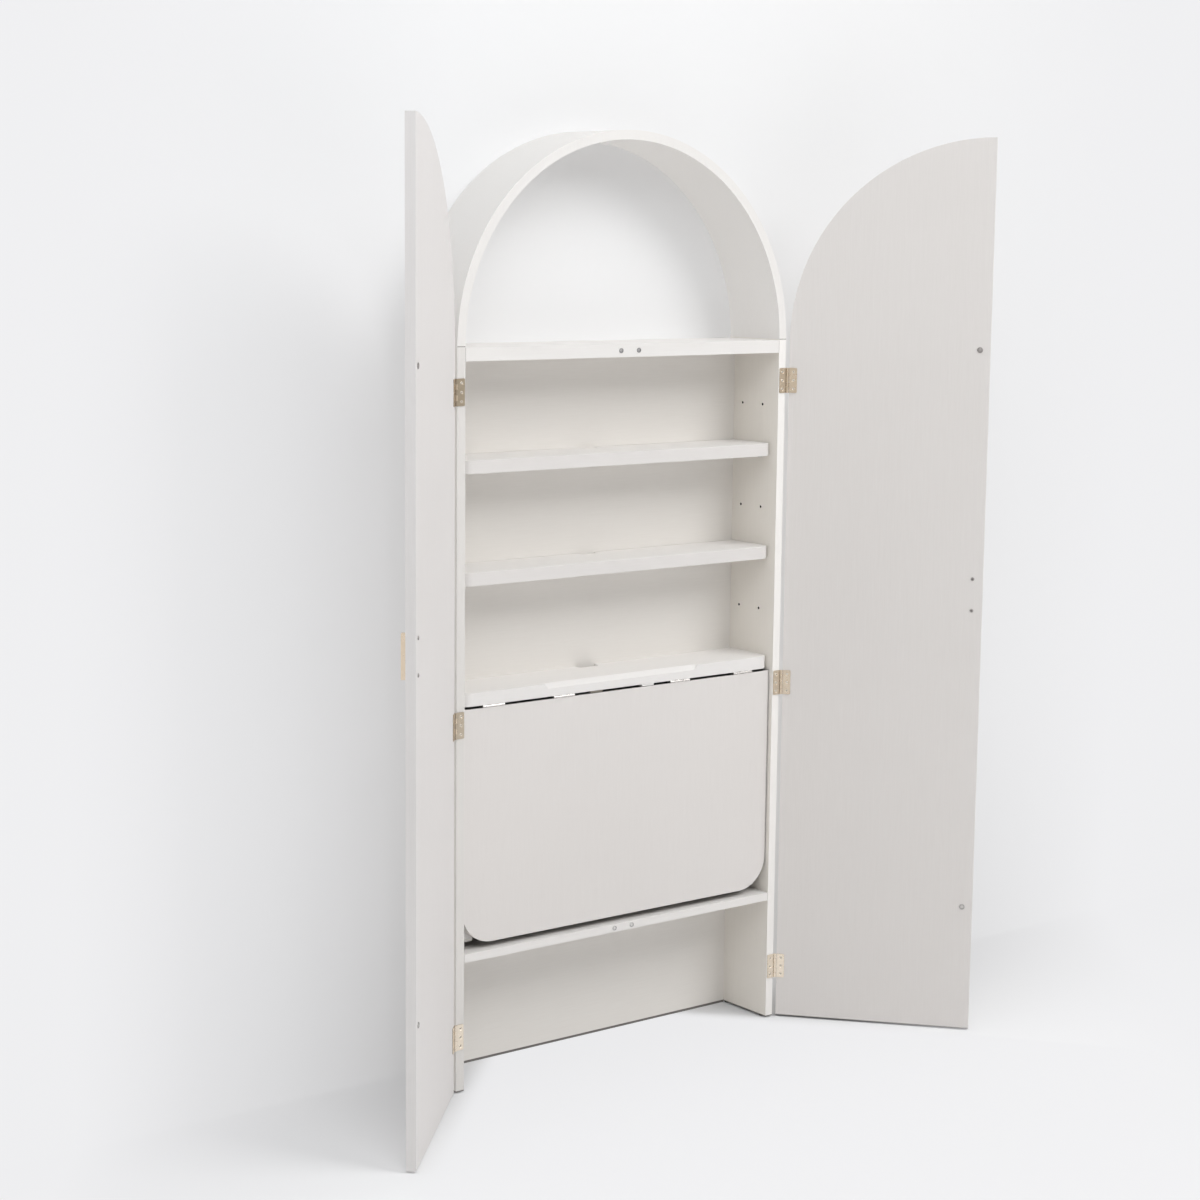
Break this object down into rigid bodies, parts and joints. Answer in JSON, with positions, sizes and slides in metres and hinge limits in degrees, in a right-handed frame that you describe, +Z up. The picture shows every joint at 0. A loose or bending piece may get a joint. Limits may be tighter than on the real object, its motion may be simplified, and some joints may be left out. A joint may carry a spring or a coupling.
{
  "type": "fold-down wall desk",
  "caption": "Tall arched cabinet fixed to a wall, with two half-arch doors, open shelves and a hinged flap that lifts up to make a desk.",
  "frame": {"origin": "where the floor meets the wall, on the middle line of the cabinet's rear face", "axes": "+X to the right seen from the room, +Y from the room into the wall, +Z up"},
  "size_m": [1.3758, 0.4571, 1.81],
  "materials": {
    "white_lacquer": "matt off-white lacquer",
    "brass": "pale satin brass",
    "nickel": "satin nickel plate",
    "steel": "zinc plate",
    "dark_rubber": "matt",
    "pale_rubber": "matt",
    "beech": "plain beech",
    "white_metal": "satin white"
  },
  "bodies": {
    "cabinet": {"left_side": "white_lacquer", "right_side": "white_lacquer", "arch": "white_lacquer", "top_shelf": "white_lacquer", "lower_shelf": "white_lacquer", "desk_shelf": "white_lacquer", "middle_shelf": "white_lacquer", "upper_shelf": "white_lacquer", "back_panel": "white_lacquer", "shelf_pins": "steel", "floor_glides": "dark_rubber", "shelf_dowels": "beech", "arch_dowels": "beech", "back_screws": "nickel", "magnet_catches": "steel", "left_frame_hinge_leaves": "brass", "right_frame_hinge_leaves": "brass", "frame_hinge_screws": "brass", "shelf_hinge_leaves": "nickel", "shelf_hinge_screws": "nickel", "gap_blocks": "white_lacquer", "prop_rest_pads": "pale_rubber"},
    "left_door": {"left_door": "white_lacquer", "left_door_hinge_leaves": "brass", "left_door_hinge_pins": "brass", "left_door_hinge_screws": "brass", "left_handle": "brass", "left_handle_screws": "nickel", "left_strikes": "steel"},
    "right_door": {"right_door": "white_lacquer", "right_door_hinge_leaves": "brass", "right_door_hinge_pins": "brass", "right_door_hinge_screws": "brass", "right_handle": "brass", "right_handle_screws": "nickel", "right_strikes": "steel"},
    "flap": {"desk_flap": "white_lacquer", "flap_hinge_leaves": "nickel", "flap_hinge_pins": "nickel", "flap_hinge_screws": "nickel", "left_prop_bracket": "white_metal", "right_prop_bracket": "white_metal", "prop_bracket_screws": "nickel", "prop_pins": "steel"},
    "left_prop": {"left_prop_arm": "white_lacquer", "left_prop_foot": "pale_rubber"},
    "right_prop": {"right_prop_arm": "white_lacquer", "right_prop_foot": "pale_rubber"}
  },
  "joints": [
    {"name": "left_door_swing", "type": "hinge", "parent": "cabinet", "child": "left_door", "pos_m": [-0.4034, -0.152, 0.71], "axis": [0, 0, -1], "range_deg": [-41, 46]},
    {"name": "right_door_swing", "type": "hinge", "parent": "cabinet", "child": "right_door", "pos_m": [0.4034, -0.152, 0.71], "axis": [0, 0, 1], "range_deg": [-37.5, 49.5]},
    {"name": "flap_lift", "type": "hinge", "parent": "cabinet", "child": "flap", "pos_m": [0, -0.14, 0.738], "axis": [-1, 0, 0], "range_deg": [0, 90]},
    {"name": "left_prop_swing", "type": "hinge", "parent": "flap", "child": "left_prop", "pos_m": [-0.355, -0.1105, 0.588], "axis": [1, 0, 0], "range_deg": [0, 150]},
    {"name": "right_prop_swing", "type": "hinge", "parent": "flap", "child": "right_prop", "pos_m": [0.355, -0.1105, 0.588], "axis": [1, 0, 0], "range_deg": [0, 150]}
  ],
  "couplings": [
    {"joint": "left_prop_swing", "follows": "flap_lift", "ratio": 1.6667},
    {"joint": "right_prop_swing", "follows": "flap_lift", "ratio": 1.6667}
  ]
}
